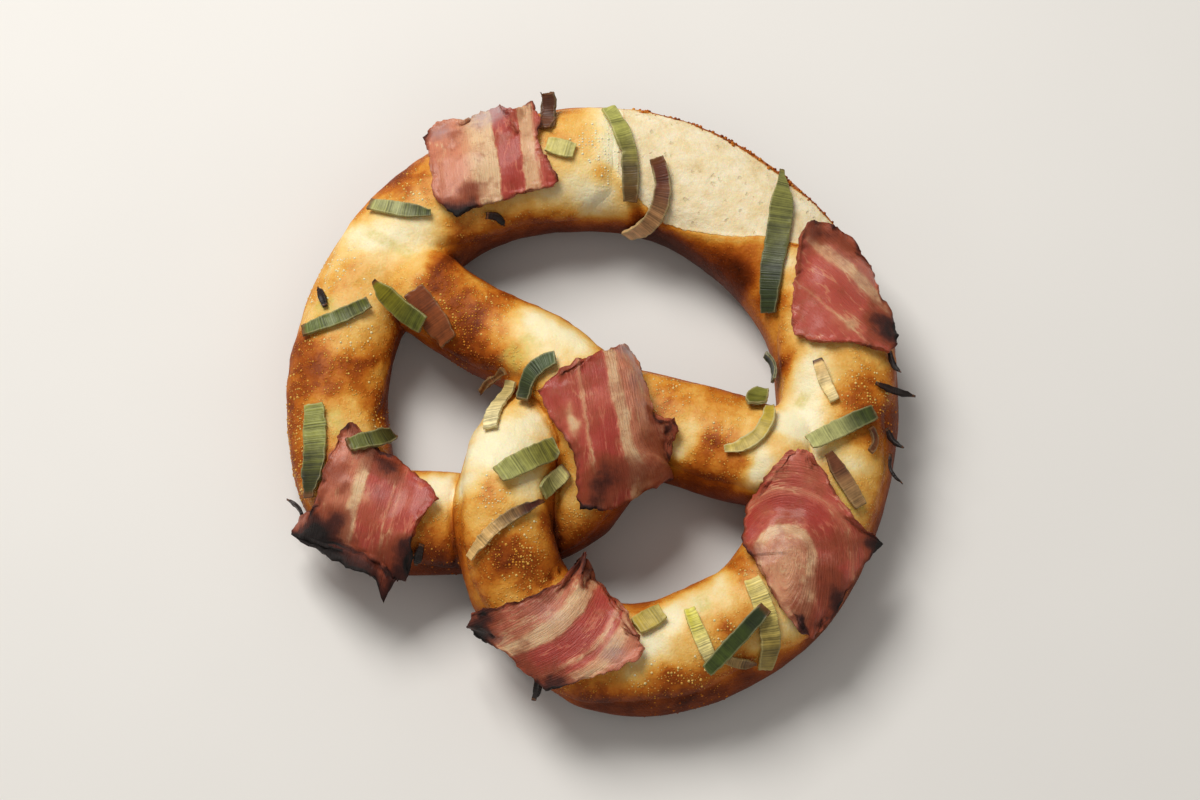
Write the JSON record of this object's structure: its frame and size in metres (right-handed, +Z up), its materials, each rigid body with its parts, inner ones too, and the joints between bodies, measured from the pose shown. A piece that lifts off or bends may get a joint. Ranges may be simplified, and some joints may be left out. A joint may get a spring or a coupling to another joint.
{
  "type": "pretzel tarte flambee",
  "caption": "Soft baked pretzel with a burst belly, topped like a tarte flambee with melted cheese, bacon slices and leek strips; lies flat on its underside.",
  "frame": {"origin": "on the floor under the middle of the whole piece", "axes": "+Z up; +X to the right and +Y to the back as the picture shows it, the burst belly at +X +Y"},
  "size_m": [0.1758, 0.1786, 0.0406],
  "materials": {
    "bread": "baked golden-brown crust, satin",
    "cheese": "melted and browned, satin",
    "bacon": "marbled, greasy sheen",
    "leek_green": "ribbed, dull",
    "leek_brown": "ribbed, browned",
    "burnt": "charred, dull"
  },
  "bodies": {
    "root": {"bread": "bread", "cheese": "cheese", "bacon_1": "bacon", "bacon_2": "bacon", "bacon_3": "bacon", "bacon_4": "bacon", "bacon_5": "bacon", "bacon_6": "bacon", "char_01": "burnt", "char_02": "burnt", "char_03": "burnt", "char_04": "burnt", "char_05": "burnt", "char_06": "burnt", "char_07": "burnt", "char_08": "burnt", "char_09": "burnt", "leek_01": "leek_green", "leek_02": "leek_green", "leek_03": "leek_green", "leek_04": "leek_green", "leek_05": "leek_green", "leek_06": "leek_green", "leek_07": "leek_green", "leek_08": "leek_brown", "leek_09": "leek_green", "leek_10": "leek_green", "leek_11": "leek_brown", "leek_12": "leek_green", "leek_13": "leek_green", "leek_14": "leek_brown", "leek_15": "leek_green", "leek_16": "leek_brown", "leek_17": "leek_green", "leek_18": "leek_green", "leek_19": "leek_green", "leek_20": "leek_green", "leek_21": "leek_green", "leek_22": "leek_brown", "leek_23": "leek_brown", "leek_24": "leek_green", "leek_25": "leek_green", "leek_26": "leek_green", "leek_27": "leek_green", "leek_28": "leek_brown", "leek_29": "leek_brown"}
  },
  "joints": []
}
